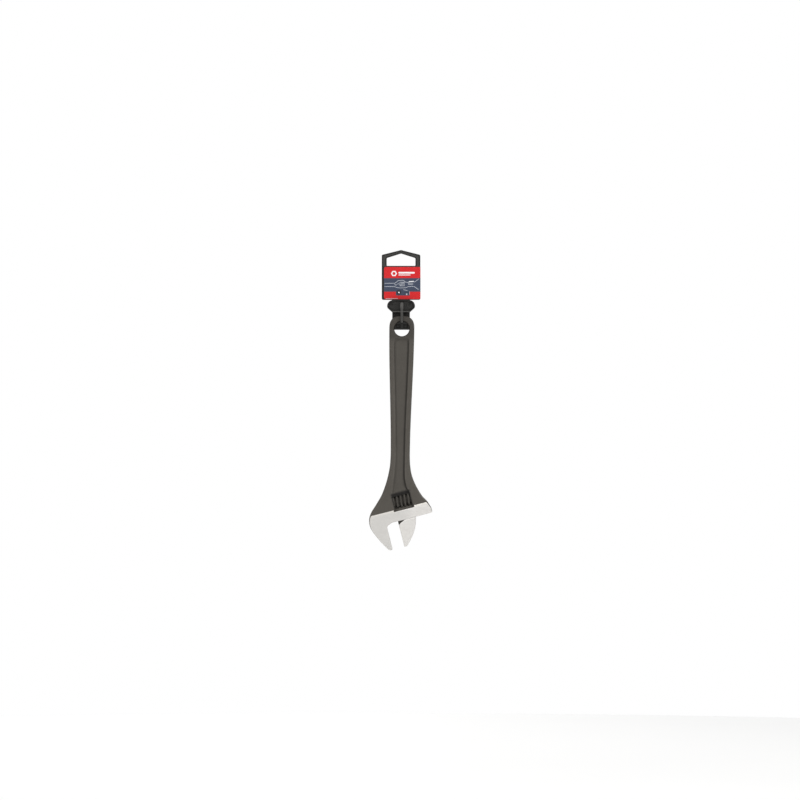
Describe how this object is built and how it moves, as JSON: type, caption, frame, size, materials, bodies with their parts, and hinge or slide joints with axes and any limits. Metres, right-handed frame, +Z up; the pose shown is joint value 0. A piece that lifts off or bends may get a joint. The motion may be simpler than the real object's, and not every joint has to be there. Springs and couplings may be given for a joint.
{
  "type": "adjustable wrench",
  "caption": "Adjustable wrench with a sliding jaw moved by a knurled worm, hanging by its handle end from a moulded display hanger.",
  "frame": {"origin": "axis of the display hook where it bears under the apex of the hanger's window, on the middle plane of the panel", "axes": "+Z up along the handle, +X to the right as the label is read, +Y to the back through the thickness"},
  "size_m": [0.082, 0.0184, 0.3911],
  "materials": {
    "black_forged_steel": "satin",
    "ground_steel": "satin",
    "black_turned_steel": "satin",
    "spring_steel": "satin",
    "black_plastic": "satin",
    "printed_label": "gloss"
  },
  "bodies": {
    "hanger": {"hanger_plate": "black_plastic", "hanger_clip": "black_plastic", "wrap_label": "printed_label"},
    "wrench": {"wrench_body": "black_forged_steel", "worm_pin": "black_turned_steel", "worm_spring": "spring_steel"},
    "jaw": {"sliding_jaw": "ground_steel"},
    "worm": {"worm_knurl": "black_turned_steel"}
  },
  "joints": [
    {"name": "wrench_swing", "type": "hinge", "parent": "hanger", "child": "wrench", "pos_m": [0.001, 0, -0.094], "axis": [0, 1, 0], "range_deg": [-90, 90]},
    {"name": "jaw_slide", "type": "slide", "parent": "wrench", "child": "jaw", "axis": [0.9691, 0, 0.2465], "range_m": [-0.0155, 0.0184]},
    {"name": "worm_spin", "type": "hinge", "parent": "wrench", "child": "worm", "pos_m": [-0.0084, 0, -0.31976], "axis": [0.9691, 0, 0.2465], "range_deg": [-1325, 1116.2]}
  ],
  "couplings": [
    {"joint": "worm_spin", "follows": "jaw_slide", "rad_per_m": -1256.6}
  ]
}
